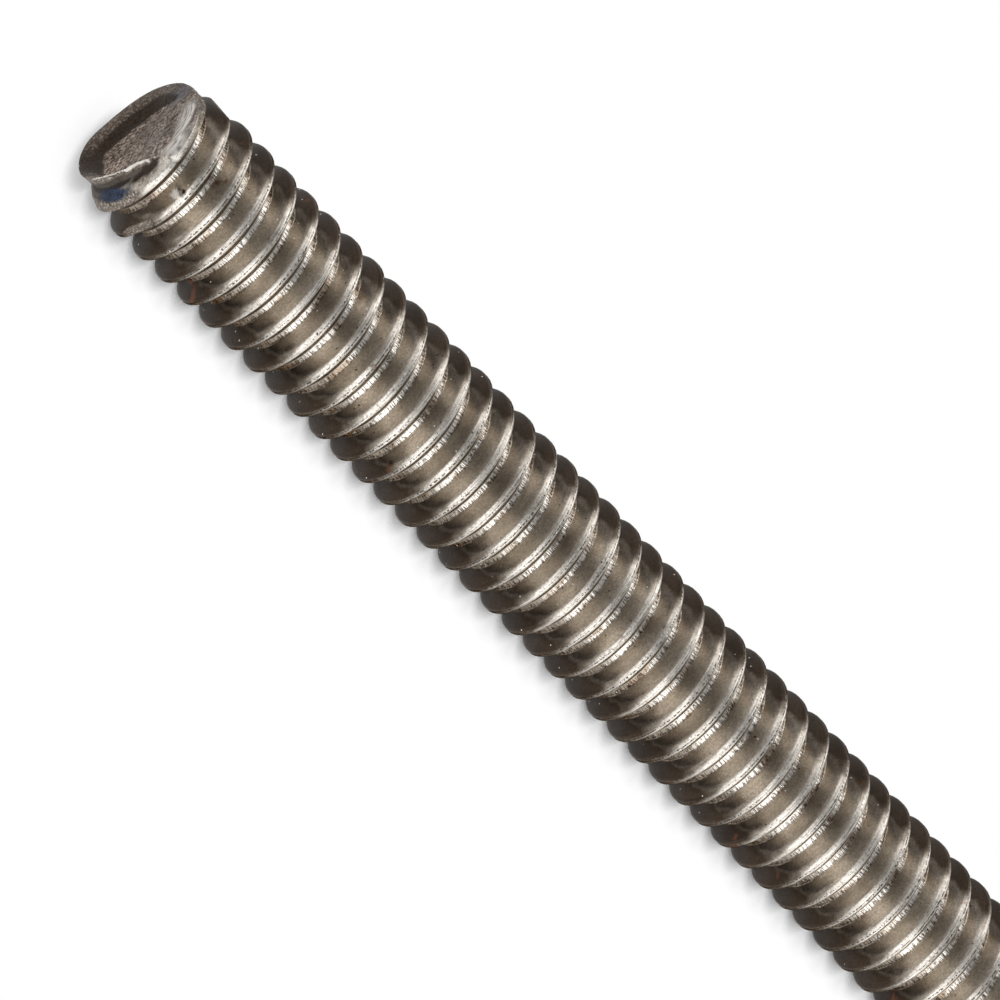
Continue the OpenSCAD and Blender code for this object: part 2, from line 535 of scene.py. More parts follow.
fine_number = numbered(fine_start, fine_x, rim_x, 1)
coarse_number = numbered(coarse_start, coarse_x, coarse_rim_x, step)
past_end = np.full(lines_per_pitch, end_start)
shifted = np.concatenate([fine_number[0], coarse_number[0], past_end])[lines_per_pitch:]
fine_number = np.concatenate([fine_number, shifted[None, :last_fine + 1]])
coarse_number = np.concatenate([coarse_number, shifted[None, last_fine + 1:line_count]])
print(f"{int((fine_number < face_start).sum())} places of the grid are gathered into the sheared rim")

# %% [markdown]
# ## Triangles of the side
# Each cell of the grid becomes two triangles, and fans join the close-set columns to the wide-set ones.
# Each corner also gets its turn along the helix and its place across the pitch as a map for the finish.

# %% Triangles of the side
def mapped_triangles(corners, base):
    """Triangles from three arrays of point numbers and their turns, with the map of each corner.

    The map is the turn along the helix, and the place along x in pitches less that turn.
    """
    maps = []
    for numbers, turns in corners:
        across = (points[numbers, 0] - first_x) / pitch - turns - base
        maps.append(np.stack([turns + base + 0 * across, across], -1))
    faces = np.stack([numbers for numbers, _ in corners], -1)
    return faces.reshape(-1, 3), np.stack(maps, -2).reshape(-1, 3, 2)


def joined(parts):
    """Triangles and maps of several blocks, each as one array."""
    return [np.concatenate(arrays) for arrays in zip(*parts)]


def grid_cells(number, columns, base):
    """Two triangles and their maps for every cell between neighbouring columns and lines."""
    a, b, d, c = number[:-1, :-1], number[:-1, 1:], number[1:, :-1], number[1:, 1:]
    here = np.broadcast_to((np.arange(columns) / columns)[:, None], a.shape)
    there = here + 1 / columns
    base = np.broadcast_to(base[None, :], a.shape)
    return joined([mapped_triangles([(a, here), (c, there), (b, here)], base),
                   mapped_triangles([(a, here), (d, there), (c, there)], base)])


def joining_cells(fine_line, coarse_line, base):
    """Fans of triangles between the last close-set line and the first wide-set line."""
    fine_turn = np.arange(fine + 1) / fine
    coarse_turn = np.arange(coarse + 1) / coarse
    fan = np.repeat(np.arange(coarse), step)
    corner = (np.arange(coarse) + 1) * step
    fans = [(fine_line[:-1], fine_turn[:-1]), (fine_line[1:], fine_turn[1:]),
            (coarse_line[fan], fan / coarse)]
    gaps = [(fine_line[corner], fine_turn[corner]), (coarse_line[1:], coarse_turn[1:]),
            (coarse_line[:-1], coarse_turn[:-1])]
    return joined([mapped_triangles(fans, base), mapped_triangles(gaps, base)])


side, side_map = joined([
    grid_cells(fine_number, fine, line_pitch[:last_fine]),
    joining_cells(fine_number[:, -1], coarse_number[:, 0], line_pitch[last_fine]),
    grid_cells(coarse_number, coarse, line_pitch[last_fine + 1:line_count - 1])])
print(f"{len(side)} triangles on the side")

# %% [markdown]
# ## Triangles of both ends
# Rings are joined by strips from the rim inwards, and the last ring closes on one middle point. Cells that
# lay past an end have two corners on the same point by now, so they are dropped, and points that no
# triangle uses go with them.

# %% Triangles of both ends
def ring_strip(outer, inner):
    """Triangles between two closed rings of point numbers, outer and inner, seen from outside the rim."""
    o2, i2 = np.roll(outer, -1), np.roll(inner, -1)
    return np.concatenate([np.stack([outer, inner, i2], -1), np.stack([outer, i2, o2], -1)])


rim_ring, end_column = np.arange(fine), np.arange(coarse)
face_rings = [rim_ring] + [face_start + i * fine + rim_ring for i in range(len(ring_shares))]
face_rings += [np.full(fine, pole_start)]
end_rings = [end_start + i * coarse + end_column for i in range(len(end_ring_shares))]
end_rings += [np.full(coarse, pole_start + 1)]
face_cap = np.concatenate([ring_strip(o, i) for o, i in zip(face_rings, face_rings[1:])])
end_cap = np.concatenate([ring_strip(o, i)[:, ::-1] for o, i in zip(end_rings, end_rings[1:])])

triangles = np.concatenate([side, face_cap, end_cap])
helix_map = np.concatenate([side_map, np.zeros((len(face_cap) + len(end_cap), 3, 2))])
finish = np.repeat([0, 1, 2], [len(side), len(face_cap), len(end_cap)])
whole = np.all(triangles != np.roll(triangles, 1, axis=1), axis=1)
triangles, helix_map, finish = triangles[whole], helix_map[whole], finish[whole]
used = np.unique(triangles)
renumber = np.zeros(point_count, dtype=np.int64)
renumber[used] = np.arange(len(used))
points, triangles = points[used], renumber[triangles]
print(f"{len(triangles)} triangles, {len(points)} points")

# %% [markdown]
# ## The mesh
# The arrays go into the mesh whole. Edges sharper than about half a right angle, such as the lip and the
# chamfer, keep a hard shade. The mesh stands for the imported rod, which is hidden, and rides on its body.

# %% Mesh
hard_edge = math.radians(48)
mesh = bpy.data.meshes.new("rod_steel")
mesh.from_pydata(points * MM, [], triangles.tolist())
mesh.uv_layers.new(name="helix")
mesh.uv_layers["helix"].uv.foreach_set("vector", helix_map.astype(np.float32).ravel())
for name, values in point_marks.items():
    mesh.attributes.new(name, "FLOAT", "POINT").data.foreach_set("value", values[used].astype(np.float32))
mesh.polygons.foreach_set("material_index", finish.astype(np.int32))
mesh.shade_smooth()
mesh.set_sharp_from_angle(angle=hard_edge)
rod = bpy.data.objects.new("rod_steel", mesh)
bpy.context.collection.objects.link(rod)
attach(rod, "root")
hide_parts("rod")
print("mesh has", len(mesh.polygons), "faces and the marks", list(point_marks))

# %% [markdown]
# ## Shader helpers
# A finish is a graph of nodes, which could be drawn by hand in the shader editor. These helpers add a node
# and either link or set each input, so that a finish below reads as a list of steps.

# %% Shader helpers
def set_inputs(tree, node, inputs):
    """Link or set inputs of a node, by name or number."""
    for name, value in inputs.items():
        if isinstance(value, bpy.types.NodeSocket):
            tree.links.new(value, node.inputs[name])
        else:
            node.inputs[name].default_value = value


def add_node(tree, kind, inputs=None, **options):
    """Add a shader node, set its options, and link or set its inputs."""
    made = tree.nodes.new("ShaderNode" + kind)
    for name, value in options.items():
        setattr(made, name, value)
    set_inputs(tree, made, inputs or {})
    return made


def calc(tree, operation, *values):
    """One sum on values or sockets."""
    return add_node(tree, "Math", dict(enumerate(values)), operation=operation).outputs[0]


def times(tree, first, second):
    """Product of two values or sockets."""
    return calc(tree, "MULTIPLY", first, second)


def scaled(tree, value, factor, add):
    """A value times a factor, plus an addition."""
    return calc(tree, "MULTIPLY_ADD", value, factor, add)


def soft(tree, value, low, high, out_low=0.0, out_high=1.0):
    """Soft step of a value from low to high."""
    ends = {"Value": value, "From Min": low, "From Max": high, "To Min": out_low, "To Max": out_high}
    return add_node(tree, "MapRange", ends, interpolation_type="SMOOTHSTEP").outputs["Result"]


def new_finish(name):
    """New material, its node tree and its shader."""
    material = bpy.data.materials.new(name)
    material.use_nodes = True
    return material, material.node_tree, material.node_tree.nodes["Principled BSDF"]


print("shader helpers ready")

# %% [markdown]
# ## Helpers for colours and grain
# Colours are blended by masks, and a film tints what lies under it by multiplying. Grain is random shade
# at a place, either in millimetres on the object or along the helix.

# %% Colours and grain
def mix(tree, mask, first, second, blend="MIX"):
    """Blend of two colours by a mask."""
    inputs = {0: mask, 6: first, 7: second}
    return add_node(tree, "Mix", inputs, data_type="RGBA", blend_type=blend).outputs[2]


def tinted(tree, mask, color, factor):
    """A colour multiplied by a factor where the mask is 1, and left as it is where the mask is 0."""
    return mix(tree, mask, color, mix(tree, 1.0, color, factor, "MULTIPLY"))


def grain(tree, vector, scale, detail=2.0):
    """Random shade from 0 to 1 at a place, with a number of cells in each unit."""
    return add_node(tree, "TexNoise", {"Vector": vector, "Scale": scale, "Detail": detail}).outputs[0]


def stretched(tree, x, y, x_scale, y_scale):
    """A two-number place with its own scale for each number."""
    return add_node(tree, "CombineXYZ", {0: times(tree, x, x_scale),
                                         1: times(tree, y, y_scale)}).outputs[0]


def stored(tree, name):
    """A mark that is stored on the mesh's points."""
    return add_node(tree, "Attribute", attribute_name=name).outputs["Fac"]


print("colour and grain helpers ready")

# %% [markdown]
# ## Helpers for places
# The marks lie at real places on the rod, so the finishes read the object's own coordinates, which stay
# the same in every view. Two directions matter: out from the axis, and towards one side of the rod.

# %% Places
def object_mm(tree):
    """Place on the object in millimetres."""
    place = add_node(tree, "TexCoord").outputs["Object"]
    return add_node(tree, "VectorMath", {0: place, "Scale": 1 / MM}, operation="SCALE").outputs[0]


def toward(tree, place, angle):
    """Distance towards a side of the rod: y times the angle's cosine plus z times its sine."""
    return calc(tree, "ADD", times(tree, place[1], math.cos(angle)),
                times(tree, place[2], math.sin(angle)))


def from_axis(tree, place):
    """Distance from the rod's axis: the root of y squared plus z squared."""
    square = times(tree, place[2], place[2])
    return calc(tree, "SQRT", scaled(tree, place[1], place[1], square))


def spot_at(tree, mm, place, size):
    """Soft spot of the given size, in millimetres along each axis, about a place."""
    off = add_node(tree, "VectorMath", {0: mm, 1: place}, operation="SUBTRACT").outputs[0]
    off = add_node(tree, "VectorMath", {0: off, 1: size}, operation="DIVIDE").outputs[0]
    length = add_node(tree, "VectorMath", {0: off}, operation="LENGTH").outputs["Value"]
    return soft(tree, length, 1.0, 0.45)


print("place helpers ready")

# %% [markdown]
# ## Groups that finishes share
# The thread and the torn face carry the same pits, dust and paint. An effect that more than one finish
# uses is built once as a node group, with an amount that each finish sets for itself.

# %% Group helpers
def new_group(name):
    """Empty node group with an input called Amount, and the socket that gives its value."""
    group = bpy.data.node_groups.new(name, "ShaderNodeTree")
    amount = group.interface.new_socket("Amount", in_out="INPUT", socket_type="NodeSocketFloat")
    amount.default_value = 1.0
    return group, group.nodes.new("NodeGroupInput").outputs["Amount"]


def put_out(group, amount, values):
    """Give a node group named outputs, each a value times the amount, and return the group."""
    for name in values:
        group.interface.new_socket(name, in_out="OUTPUT", socket_type="NodeSocketFloat")
    outputs = {name: times(group, value, amount) for name, value in values.items()}
    set_inputs(group, group.nodes.new("NodeGroupOutput"), outputs)
    return group


def use_group(tree, group, amount):
    """Place a node group in a finish with its own amount, and give its outputs."""
    made = tree.nodes.new("ShaderNodeGroup")
    made.node_tree = group
    made.inputs["Amount"].default_value = amount
    return made.outputs


print("group helpers ready")

# %% [markdown]
# ## Pits, rust and dust
# Tiny pits hold dirt, a little rust has started in patches, and single specks of dust lie on the metal.
# Round cells give the pits and specks, and slow grain gives the rust.

# %% Pits, rust and dust
tree, amount = new_group("pits_and_dust")
mm = object_mm(tree)
pit_spots = add_node(tree, "TexVoronoi", {"Vector": mm, "Scale": 2.3}).outputs["Distance"]
pit_edge = scaled(tree, grain(tree, mm, 9.0, 3.0), 0.5, -0.2)
pits = soft(tree, calc(tree, "ADD", pit_spots, pit_edge), 0.13, 0.07)
dust_spots = add_node(tree, "TexVoronoi", {"Vector": mm, "Scale": 1.7}).outputs["Distance"]
dust = soft(tree, dust_spots, 0.065, 0.035)
rust = soft(tree, grain(tree, mm, 0.9, 4.0), 0.66, 0.74)
speck_group = put_out(tree, amount, {"Pit": pits, "Rust": rust, "Dust": dust})
print(speck_group.name, "has", len(speck_group.nodes), "nodes")

# %% [markdown]
# ## Blue paint
# Marker paint is left in two places by the cut, a dark patch on the lower side of the first ridge and a
# faint one on the rim. Each is a soft spot worn away by grain.

# %% Blue paint
tree, amount = new_group("blue_paint")
mm = object_mm(tree)
side_spot = spot_at(tree, mm, (face_x + 0.38, -2.55, 0.25), (0.25, 0.8, 1.35))
rim_spot = spot_at(tree, mm, (face_x + 0.1, 2.15, 0.7), (0.6, 0.75, 0.75))
worn = soft(tree, grain(tree, mm, 6.0, 3.0), 0.28, 0.46)
faint = soft(tree, grain(tree, mm, 5.0, 3.0), 0.35, 0.7)
side_paint = times(tree, side_spot, worn)
rim_paint = times(tree, times(tree, rim_spot, faint), 0.9)
paint_group = put_out(tree, amount, {"Paint": calc(tree, "MAXIMUM", side_paint, rim_paint)})
print(paint_group.name, "has", len(paint_group.nodes), "nodes")

# %% [markdown]
# ## Steel of the thread: painted side shade
# Painted shade darkens the rod on its sides and underneath and leaves it light along the top, where light
# falls. How far a place faces that lit side decides how much painted shade it gets, and slow grain makes its
# edge patchy.

# %% Painted side shade
thread_steel, tree, shader = new_finish("thread_steel")
lit_facing = math.radians(114)
mm = object_mm(tree)
place = add_node(tree, "SeparateXYZ", {0: mm}).outputs
out = calc(tree, "MAXIMUM", from_axis(tree, place), 0.5)
toward_lit_side = calc(tree, "DIVIDE", toward(tree, place, lit_facing), out)
patchy = scaled(tree, grain(tree, mm, 1.6, 4.0), 0.26, -0.13)
facing_lit_side = calc(tree, "ADD", toward_lit_side, patchy)
# Painted shade: darker on the rod's sides and underneath, light along the top.
side_shade = soft(tree, facing_lit_side, 0.80, 0.38)
side_shade_edge = soft(tree, facing_lit_side, 0.93, 0.68)
print("film is wiped off at", round(math.degrees(lit_facing)), "degrees round the rod")

# %% [markdown]
# ## Steel of the thread: crest, flank and root
# Rolling leaves the crests bright and streaked, the flanks smooth and the roots bright but chattered. The
# map made with the mesh tells which is which, and fine grain along the helix makes the borders ragged.
# Crushed metal is no longer any of them.

# %% Crest, flank and root
helix = add_node(tree, "SeparateXYZ", {0: add_node(tree, "UVMap", uv_map="helix").outputs[0]}).outputs
turns, across = helix[0], helix[1]
is_crushed = stored(tree, "crushed")
sound = calc(tree, "SUBTRACT", 1.0, is_crushed)
border = grain(tree, stretched(tree, turns, across, 40.0, 4.0), 1.0, 3.0)
ragged_edge = scaled(tree, border, 0.04, -0.02)
crest_shift = scaled(tree, side_shade_edge, -0.08, ragged_edge)
shifted_across = calc(tree, "ADD", across, crest_shift)
shoulder = soft(tree, shifted_across, 0.845, 0.965)
hind = soft(tree, shifted_across, -0.155, -0.035)
top = soft(tree, calc(tree, "ABSOLUTE", calc(tree, "ADD", across, ragged_edge)), 0.115, 0.09)
crest = calc(tree, "MAXIMUM", shoulder, times(tree, top, hind))
crest = times(tree, crest, sound)
from_root = calc(tree, "ABSOLUTE", calc(tree, "SUBTRACT", across, 0.52))
root = times(tree, soft(tree, calc(tree, "ADD", from_root, ragged_edge), 0.1, 0.06), sound)
on_edge = calc(tree, "MAXIMUM", root, crest)
from_crest = calc(tree, "PINGPONG", across, 0.5)
# Painted shade that also varies across each flank between crest and root.
deep_shade_start = calc(tree, "ADD", facing_lit_side, soft(tree, from_crest, 0.38, 0.16, 0.08, -0.17))
deep_shade = soft(tree, deep_shade_start, 0.75, 0.42)
print("crest, flank and root are told apart with", len(tree.nodes), "nodes")

# %% [markdown]
# ## Steel of the thread: grain
# Rolling dies leave streaks along the helix and chatter across it. Both are the same kind of grain,
# stretched along one number of the map or the other. Speckles and blotches lie on the object itself.

# %% Grain of the thread
chatter_marks = 110.0
slow = grain(tree, stretched(tree, turns, across, 9.0, 2.0), 1.0, 3.0)
streak = grain(tree, stretched(tree, turns, across, 16.0, 50.0), 1.0, 3.0)
chatter = grain(tree, stretched(tree, turns, across, chatter_marks, 1.6), 1.0, 3.0)
ticks = soft(tree, calc(tree, "ABSOLUTE", calc(tree, "SUBTRACT", chatter, 0.5)), 0.0, 0.06)
dashes = grain(tree, stretched(tree, turns, across, 190.0, 9.0), 1.0, 2.0)
blotch = grain(tree, mm, 3.5, 4.0)
speckle = grain(tree, mm, 12.0, 2.0)
print(f"chatter has about {chatter_marks:.0f} marks in a turn")

# %% [markdown]
# ## Steel of the thread: colours
# Each part of the thread gets a base colour from its grain, and is then darkened by the painted side shade.
# The crest's hind edge is a little browner, and crushed metal is dull and flecked.

# %% Colours of the thread
flank_dark, flank_pale = (0.345, 0.302, 0.25, 1), (0.66, 0.6, 0.525, 1)
flank = mix(tree, soft(tree, slow, 0.25, 0.75), flank_dark, flank_pale)
flank = mix(tree, soft(tree, streak, 0.55, 0.3, 0.0, 0.35), flank, (0.25, 0.22, 0.185, 1))
flank = mix(tree, soft(tree, speckle, 0.3, 0.7, 0.45, 0.0), flank, (0.14, 0.12, 0.1, 1))
# Painted shade on the flank, on the rod's sides.
flank = tinted(tree, side_shade_edge, flank, (0.78, 0.75, 0.72, 1))
flank = tinted(tree, deep_shade, flank, (0.12, 0.095, 0.078, 1))

crest_dark, crest_pale = (0.25, 0.228, 0.203, 1), (0.8, 0.77, 0.72, 1)
crest_color = mix(tree, soft(tree, streak, 0.3, 0.7), crest_dark, crest_pale)
crest_flecks = soft(tree, speckle, 0.46, 0.33, 0.0, 0.72)
crest_color = mix(tree, crest_flecks, crest_color, (0.15, 0.13, 0.11, 1))
crest_color = tinted(tree, soft(tree, across, 0.05, 0.075), crest_color, (0.72, 0.66, 0.58, 1))
# Painted shade on the crest's sides.
crest_color = tinted(tree, side_shade, crest_color, (0.28, 0.25, 0.225, 1))

root_dark, root_pale = (0.12, 0.095, 0.075, 1), (0.7, 0.67, 0.62, 1)
root_color = mix(tree, ticks, root_dark, root_pale)
root_color = tinted(tree, soft(tree, slow, 0.5, 0.38), root_color, (0.46, 0.37, 0.3, 1))
# Painted shade on the root's sides.
root_color = tinted(tree, side_shade_edge, root_color, (0.55, 0.49, 0.43, 1))
# Painted glints: bright specks on the root.
root_color = mix(tree, soft(tree, speckle, 0.68, 0.73), root_color, (0.9, 0.88, 0.84, 1))

dull_dark, dull_pale = (0.09, 0.073, 0.06, 1), (0.23, 0.2, 0.17, 1)
dull = mix(tree, soft(tree, speckle, 0.25, 0.75), dull_dark, dull_pale)
dull = mix(tree, soft(tree, blotch, 0.5, 0.7), dull, (0.07, 0.056, 0.046, 1))
dull = mix(tree, soft(tree, speckle, 0.57, 0.68), dull, (0.4, 0.35, 0.3, 1))
past_face = calc(tree, "SUBTRACT", place[0], face_x)
dull = mix(tree, soft(tree, past_face, 1.2, 1.6, 0.0, 0.15), dull, (0.06, 0.048, 0.038, 1))

color = mix(tree, on_edge, flank, mix(tree, crest, root_color, crest_color))
color = mix(tree, is_crushed, color, dull)
print("thread colours use", len(tree.nodes), "nodes so far")

# %% [markdown]
# ## Steel of the thread: wear, dirt, painted shade and highlights
# Over the plain colours lie the dark seam in the crest, painted shade in the corners, metal rubbed bright
# with painted highlights, smudges of oil, and the shared pits, rust, dust and paint. They are laid on in the
# order in which they came about.

# %% Wear, dirt, painted shade and highlights of the thread
specks = use_group(tree, speck_group, 1.0)
paint = use_group(tree, paint_group, 1.0)["Paint"]
seam_edge = scaled(tree, grain(tree, mm, 9.0, 2.0), 0.5, -0.1)
seam_dark = soft(tree, calc(tree, "SUBTRACT", stored(tree, "seam"), seam_edge), 0.05, 0.35)
seam_dark = times(tree, seam_dark, soft(tree, dashes, 0.42, 0.58))
# Painted shade in the groove and corners beside the cut.
groove_shaded = calc(tree, "ADD", stored(tree, "groove_shade"), scaled(tree, speckle, 0.6, -0.3))
# Rubbed metal with painted highlights, pale and less metallic.
rubbed_and_highlight_mask = calc(tree, "SUBTRACT", stored(tree, "rubbed_and_highlight"), 0.3)
rubbed_and_highlight_mask = soft(tree, scaled(tree, speckle, 0.6, rubbed_and_highlight_mask), 0.55, 0.9)
smudge = times(tree, soft(tree, blotch, 0.55, 0.7), soft(tree, speckle, 0.45, 0.6))
by_crest = scaled(tree, soft(tree, from_crest, 0.3, 0.12), 0.7, 0.3)
smudge = times(tree, times(tree, smudge, by_crest), 0.6)
blue_dark, blue_pale = (0.014, 0.019, 0.034, 1), (0.036, 0.05, 0.085, 1)
blue = mix(tree, soft(tree, speckle, 0.35, 0.65), blue_dark, blue_pale)
layers = [(seam_dark, (0.05, 0.043, 0.036, 1)),
          # Painted shade: dark colour in the groove and corners beside the cut.
          (soft(tree, groove_shaded, 0.35, 0.85), (0.03, 0.024, 0.02, 1)),
          (rubbed_and_highlight_mask, (0.6, 0.58, 0.545, 1)),
          (smudge, (0.06, 0.048, 0.037, 1)),
          (specks["Pit"], (0.04, 0.031, 0.024, 1)),
          (times(tree, specks["Rust"], 0.7), (0.13, 0.05, 0.025, 1)),
          (times(tree, specks["Dust"], sound), (0.75, 0.73, 0.7, 1)),
          (paint, blue)]
for mask, layer in layers:
    color = mix(tree, mask, color, layer)
print("thread colour is ready with", len(tree.nodes), "nodes")

# %% [markdown]
# ## Steel of the thread: gloss and relief
# Bare steel mirrors its surroundings, while places under deep painted shade, dust, paint and crushed metal
# are duller.
# Chatter, streaks and speckles are too fine for the mesh, so they are a bump of a few hundredths of a
# millimetre.

# %% Gloss and relief of the thread
# Less metal where the painted shade is deep.
deep_shade_on_flank = times(tree, deep_shade, calc(tree, "SUBTRACT", 1.0, on_edge))
covered = calc(tree, "MAXIMUM", calc(tree, "MAXIMUM", is_crushed, specks["Dust"]), paint)
covered = calc(tree, "MAXIMUM", soft(tree, deep_shade_on_flank, 0.4, 1.0), covered)
metal = scaled(tree, covered, -0.7, 1.0)
metal = scaled(tree, rubbed_and_highlight_mask, -0.55, metal)
rough = scaled(tree, is_crushed, 0.15, 0.3)
rough = scaled(tree, crest, 0.1, scaled(tree, root, -0.04, rough))
relief = times(tree, times(tree, chatter, root), 2.0)
relief = scaled(tree, times(tree, streak, crest), 0.25, relief)
relief = scaled(tree, speckle, 0.25, relief)
bump = add_node(tree, "Bump", {"Height": relief, "Strength": 0.6, "Distance": 0.03 * MM})
set_inputs(tree, shader, {"Base Color": color, "Metallic": metal, "Roughness": rough,
                          "Specular IOR Level": 0.1, "Specular Tint": (0.3, 0.28, 0.26, 1),
                          "Normal": bump.outputs[0]})
mesh.materials.append(thread_steel)
print("thread finish has", len(tree.nodes), "nodes")

# %% [markdown]
# ## Torn steel of the sheared face
# The middle of the cut is grey and scored, painted lighter towards the lip's side. The rolled edge is
# burnished in streaks that follow the rim and painted with a highlight, and the standing wall on the far
# side is stained dark, with painted shade towards its foot.

# %% Torn colours
torn_steel, tree, shader = new_finish("torn_steel")
mm = object_mm(tree)
place = add_node(tree, "SeparateXYZ", {0: mm}).outputs
near = toward(tree, place, toward_viewer)
across_view = toward(tree, place, toward_viewer + math.pi / 2)
score = grain(tree, stretched(tree, near, across_view, 16.0, 4.5), 1.0, 6.0)
patch = grain(tree, mm, 1.1, 3.0)
speckle = grain(tree, mm, 11.0, 3.0)
tear = scaled(tree, grain(tree, mm, 9.5, 6.0), 0.55, times(tree, score, 0.45))
torn_dark, torn_pale = (0.04, 0.028, 0.021, 1), (0.315, 0.25, 0.205, 1)
color = mix(tree, soft(tree, tear, 0.44, 0.57), torn_dark, torn_pale)
# Painted light: the face is made lighter towards the lip's side.
color = tinted(tree, soft(tree, across_view, -0.6, 1.8), color, (1.5, 1.5, 1.5, 1))
color = tinted(tree, soft(tree, patch, 0.4, 0.65), color, (0.6, 0.56, 0.53, 1))
color = mix(tree, soft(tree, speckle, 0.52, 0.7), color, (0.05, 0.04, 0.032, 1))

burnish_and_highlight_mask = stored(tree, "burnish_and_highlight")
rubs = add_node(tree, "CombineXYZ", {0: times(tree, from_axis(tree, place), 14.0),
                                     1: times(tree, place[1], 1.6),
                                     2: times(tree, place[2], 1.6)}).outputs[0]
rub = soft(tree, grain(tree, rubs, 1.0, 4.0), 0.36, 0.56)
# Painted highlight on the burnished rolled edge: pale streaks that follow the rim.
color = mix(tree, burnish_and_highlight_mask, color, mix(tree, rub, (0.27, 0.24, 0.215, 1), (0.64, 0.61, 0.57, 1)))
print("torn colours use", len(tree.nodes), "nodes so far")

# %% [markdown]
# ## Torn steel: stains, painted shade, dust and gloss
# The wall's stain turns into painted shade towards its foot. Dust and paint come from the shared groups, and
# the edge that stands out is rubbed bright with a painted highlight. The burnished part is smooth metal, so
# the relief fades out there.

# %% Torn stains, painted shade and gloss
is_band = stored(tree, "band")
stain_dark, stain_pale = (0.06, 0.044, 0.034, 1), (0.21, 0.175, 0.15, 1)
# Painted shade on the far wall, darkest towards its foot.
wall_shade_dark, wall_shade_pale = (0.018, 0.011, 0.007, 1), (0.04, 0.027, 0.019, 1)
stain_and_shade = mix(tree, soft(tree, speckle, 0.45, 0.72), stain_dark, stain_pale)
wall_shade = mix(tree, soft(tree, speckle, 0.3, 0.7), wall_shade_dark, wall_shade_pale)
stain_and_shade = mix(tree, soft(tree, is_band, 0.4, 0.8), stain_and_shade, wall_shade)
color = mix(tree, soft(tree, is_band, 0.05, 0.4), color, stain_and_shade)
color = mix(tree, use_group(tree, speck_group, 1.0)["Dust"], color, (0.75, 0.72, 0.68, 1))
color = mix(tree, use_group(tree, paint_group, 1.0)["Paint"], color, (0.085, 0.09, 0.115, 1))
# Rubbed edge with a painted highlight.
color = mix(tree, soft(tree, stored(tree, "rubbed_and_highlight"), 0.65, 0.95), color, (0.7, 0.67, 0.63, 1))
metal = scaled(tree, burnish_and_highlight_mask, 0.5, 0.5)
relief = scaled(tree, speckle, 0.4, tear)
relief = times(tree, relief, scaled(tree, burnish_and_highlight_mask, -0.8, 1.0))
bump = add_node(tree, "Bump", {"Height": relief, "Strength": 0.65, "Distance": 0.06 * MM})
set_inputs(tree, shader, {"Base Color": color, "Metallic": metal, "Roughness": 0.45,
                          "Specular IOR Level": 0.1, "Normal": bump.outputs[0]})
mesh.materials.append(torn_steel)
print("torn finish has", len(tree.nodes), "nodes")

# %% [markdown]
# ## Square end
# The other end is outside the photo, so it is finished plainly, as a saw leaves it: faint straight lines
# on an even grey face.

# %% Sawn finish
sawn_steel, tree, shader = new_finish("sawn_steel")
place = add_node(tree, "SeparateXYZ", {0: object_mm(tree)}).outputs
saw_lines = grain(tree, stretched(tree, place[1], place[2], 0.4, 14.0), 1.0, 2.0)
color = mix(tree, saw_lines, (0.26, 0.23, 0.2, 1), (0.48, 0.45, 0.41, 1))
bump = add_node(tree, "Bump", {"Height": saw_lines, "Strength": 0.5, "Distance": 0.03 * MM})
set_inputs(tree, shader, {"Base Color": color, "Metallic": 1.0, "Roughness": 0.38,
                          "Normal": bump.outputs[0]})
mesh.materials.append(sawn_steel)
print("sawn finish has", len(tree.nodes), "nodes")

# %% [markdown]
# ## Direction of the rod in the picture
# The photo was taken with a long lens, from above and from the sheared end's side. The numbers are the
# measured direction of the rod's axis in the picture, its distance, and the phase of the thread there.
# Three directions of the rod, once as the lens sees them and once in the world, give the camera's turn.

# %% Direction of the rod
picture_px = 1000
lens_px = 10021.5
aim_px = (-338.329, -338.8975)
near_depth = 119.86 * major_r
axis_roll = math.radians(45.5881)
axis_recede = math.radians(25.5)
crest_phase = 0.313

along = Vector((math.cos(axis_roll) * math.cos(axis_recede),
                math.sin(axis_roll) * math.cos(axis_recede), math.sin(axis_recede)))
towards = (Vector((0, 0, -1)) + along * math.sin(axis_recede)).normalized()
world_along = Vector((1, 0, 0))
world_towards = Vector((0, math.cos(toward_viewer), math.sin(toward_viewer)))
to_view = Matrix((along, towards, along.cross(towards))).transposed()
to_world = Matrix((world_along, world_towards, world_along.cross(world_towards))).transposed()
turn_camera = to_world @ to_view.transposed()
near_x = face_x + crest_lead + pitch * (viewer_facing / 360 - crest_phase + 1)
near_point = Vector((aim_px[0] / lens_px, aim_px[1] / lens_px, 1)) * near_depth
camera_place = Vector((near_x, 0, 0)) - turn_camera @ near_point
print("camera at", [round(v) for v in camera_place], "mm")

# %% [markdown]
# ## Camera
# A lens measured in picture widths becomes a focal length on Blender's sensor. Blender's camera looks along
# its own -Z with +Y up, while the picture is measured downwards, so two axes are turned round.

# %% Camera
sensor_mm = 36
camera_data = bpy.data.cameras.new("camera")
camera_data.sensor_width = sensor_mm
camera_data.lens = sensor_mm * lens_px / picture_px
camera_data.clip_start = 0.01
camera_data.clip_end = 10
camera = bpy.data.objects.new("camera", camera_data)
bpy.context.collection.objects.link(camera)
axes = turn_camera @ Matrix(((1, 0, 0), (0, -1, 0), (0, 0, -1)))
camera.matrix_world = Matrix.Translation(camera_place * MM) @ axes.to_4x4()
bpy.context.scene.camera = camera
print(f"lens of {camera_data.lens:.1f} mm")

# %% [markdown]
# ## Floor
# The rod lies on white paper. The paper is plain white to the eye and in the metal's reflections, and
# only darkens where the rod itself covers it closely, which is the thin shadow along the rod. Near the
# sheared end that shadow is painted lighter by place along the rod.

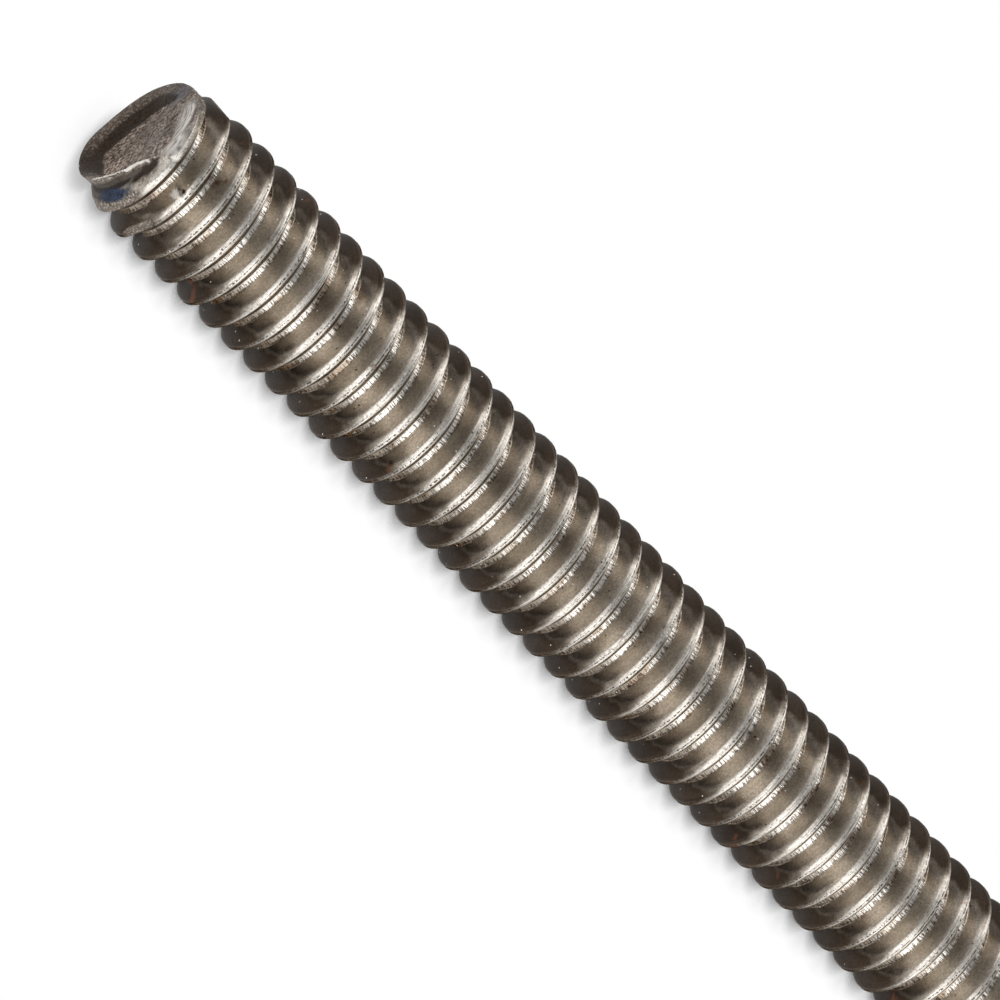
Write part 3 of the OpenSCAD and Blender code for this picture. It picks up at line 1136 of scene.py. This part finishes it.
# %% Floor
floor_size = 0.6
floor_z = -major_r * MM
shadow_reach = 1.2 * MM
floor_mesh = bpy.data.meshes.new("floor")
corners = [(-1, -1), (1, -1), (1, 1), (-1, 1)]
floor_mesh.from_pydata([(x * floor_size, y * floor_size, floor_z) for x, y in corners], [], [(0, 1, 2, 3)])
floor = bpy.data.objects.new("floor", floor_mesh)
bpy.context.collection.objects.link(floor)

paper, tree, plain = new_finish("white_paper")
set_inputs(tree, plain, {"Base Color": (0.9, 0.9, 0.9, 1), "Roughness": 1.0})
rays = add_node(tree, "LightPath").outputs
seen = calc(tree, "MAXIMUM", calc(tree, "MAXIMUM", rays["Is Camera Ray"], rays["Is Glossy Ray"]),
            rays["Is Transmission Ray"])
cover = add_node(tree, "AmbientOcclusion", {"Distance": shadow_reach}, samples=6).outputs["AO"]
along_rod = add_node(tree, "SeparateXYZ", {0: object_mm(tree)}).outputs[0]
# Painted light: the shadow is made weaker near the sheared end by place along the rod.
darkest = soft(tree, along_rod, face_x - 0.5, face_x + 3.5, 0.55, 0.1)
strength = soft(tree, cover, 0.4, 0.95, darkest, 1.0)
white = add_node(tree, "Emission", {"Color": (1, 1, 1, 1), "Strength": strength})
shown = add_node(tree, "MixShader", {0: seen, 1: plain.outputs[0], 2: white.outputs[0]})
set_inputs(tree, tree.nodes["Material Output"], {"Surface": shown.outputs[0]})
floor_mesh.materials.append(paper)
print("floor at", round(floor_z / MM, 3), "mm")

# %% [markdown]
# ## Light
# Two long soft lights lie along the rod, one in front and one behind, and a dim even sky fills the rest.
# They draw the two bright lines along the crests.

# %% Light
world = bpy.data.worlds.new("studio")
world.use_nodes = True
sky = world.node_tree.nodes["Background"]
set_inputs(world.node_tree, sky, {"Color": (0.42, 0.42, 0.42, 1), "Strength": 1.0})
bpy.context.scene.world = world
strip_distance, strip_length, strip_radiance = 0.4, 1.6, 2.0


def strip_light(name, facing, width):
    """A long soft light at an angle round the rod, with a power of pi times its radiance and area."""
    data = bpy.data.lights.new(name, "AREA")
    data.shape = "RECTANGLE"
    data.size = strip_length
    data.size_y = width
    data.energy = strip_radiance * math.pi * width * strip_length
    light = bpy.data.objects.new(name, data)
    outward = Vector((0, math.cos(facing), math.sin(facing)))
    side = Vector((1, 0, 0))
    turned = Matrix((side, outward.cross(side), outward)).transposed()
    light.matrix_world = Matrix.Translation(outward * strip_distance) @ turned.to_4x4()
    bpy.context.collection.objects.link(light)


strip_light("front_strip", math.radians(149), 0.42)
strip_light("back_strip", math.radians(37), 0.3)
bpy.context.scene.view_settings.view_transform = "Standard"
